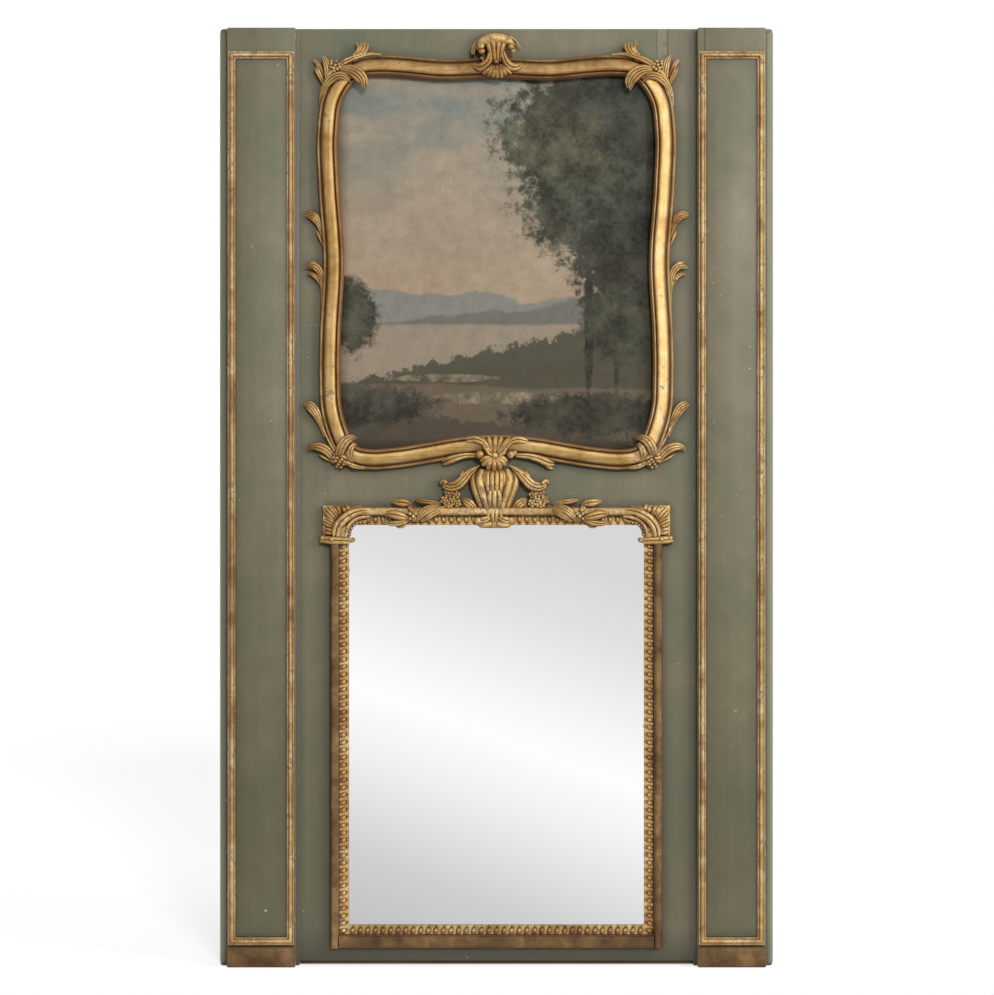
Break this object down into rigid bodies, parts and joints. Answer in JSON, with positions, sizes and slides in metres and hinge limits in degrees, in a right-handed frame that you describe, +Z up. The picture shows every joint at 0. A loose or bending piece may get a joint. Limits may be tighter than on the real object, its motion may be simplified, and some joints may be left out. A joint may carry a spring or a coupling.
{
  "type": "trumeau mirror",
  "caption": "Tall painted wall panel with pilasters, a rococo gilt picture frame over a rectangular gilt-framed mirror, and iron hanging plates behind.",
  "frame": {"origin": "middle of the footprint on the floor, half way between the wall plane and the foremost carving", "axes": "+X to the right seen from the front, the front faces -Y and the wall is at +Y, +Z up"},
  "size_m": [1.108, 0.09, 1.873],
  "materials": {
    "painted_wood": "aged grey-green distemper paint over gesso, worn",
    "gilded_wood": "water gilding over red bole, rubbed and toned",
    "bare_wood": "bare aged softwood",
    "mirror_glass": "silvered plate glass, slightly foxed",
    "painted_canvas": "oil paint on linen canvas, aged varnish",
    "iron": "wrought iron, dark"
  },
  "bodies": {
    "root": {"bottom_batten": "bare_wood", "bottom_palmette": "gilded_wood", "bottom_rail": "painted_wood", "cartouche_vase": "gilded_wood", "glass_fillets": "bare_wood", "hanging_plate_screws": "iron", "left_corner_block": "gilded_wood", "left_hanging_plate": "iron", "left_inner_stile": "painted_wood", "left_laurel_sprig": "gilded_wood", "left_leaf_spray": "gilded_wood", "left_lower_corner_acanthus": "gilded_wood", "left_outer_stile": "painted_wood", "left_pilaster_board": "painted_wood", "left_pilaster_moulding_bottom": "gilded_wood", "left_pilaster_moulding_left": "gilded_wood", "left_pilaster_moulding_right": "gilded_wood", "left_pilaster_moulding_top": "gilded_wood", "left_plinth_block": "gilded_wood", "left_scroll_arm": "gilded_wood", "left_upper_corner_acanthus": "gilded_wood", "middle_batten": "bare_wood", "middle_rail": "painted_wood", "mirror_back_board": "bare_wood", "mirror_bead_strip_bottom": "gilded_wood", "mirror_bead_strip_left": "gilded_wood", "mirror_bead_strip_right": "gilded_wood", "mirror_bead_strip_top": "gilded_wood", "mirror_frame_bottom": "gilded_wood", "mirror_frame_left": "gilded_wood", "mirror_frame_right": "gilded_wood", "mirror_frame_top": "gilded_wood", "mirror_plate": "mirror_glass", "picture_back_board": "bare_wood", "picture_canvas": "painted_canvas", "picture_frame_bottom": "gilded_wood", "picture_frame_left": "gilded_wood", "picture_frame_right": "gilded_wood", "picture_frame_top": "gilded_wood", "right_corner_block": "gilded_wood", "right_hanging_plate": "iron", "right_inner_stile": "painted_wood", "right_laurel_sprig": "gilded_wood", "right_leaf_spray": "gilded_wood", "right_lower_corner_acanthus": "gilded_wood", "right_outer_stile": "painted_wood", "right_pilaster_board": "painted_wood", "right_pilaster_moulding_bottom": "gilded_wood", "right_pilaster_moulding_left": "gilded_wood", "right_pilaster_moulding_right": "gilded_wood", "right_pilaster_moulding_top": "gilded_wood", "right_plinth_block": "gilded_wood", "right_scroll_arm": "gilded_wood", "right_upper_corner_acanthus": "gilded_wood", "shell_crest": "gilded_wood", "stretcher_bars": "bare_wood", "tenon_pegs": "bare_wood", "top_batten": "bare_wood", "top_rail": "painted_wood"}
  },
  "joints": []
}
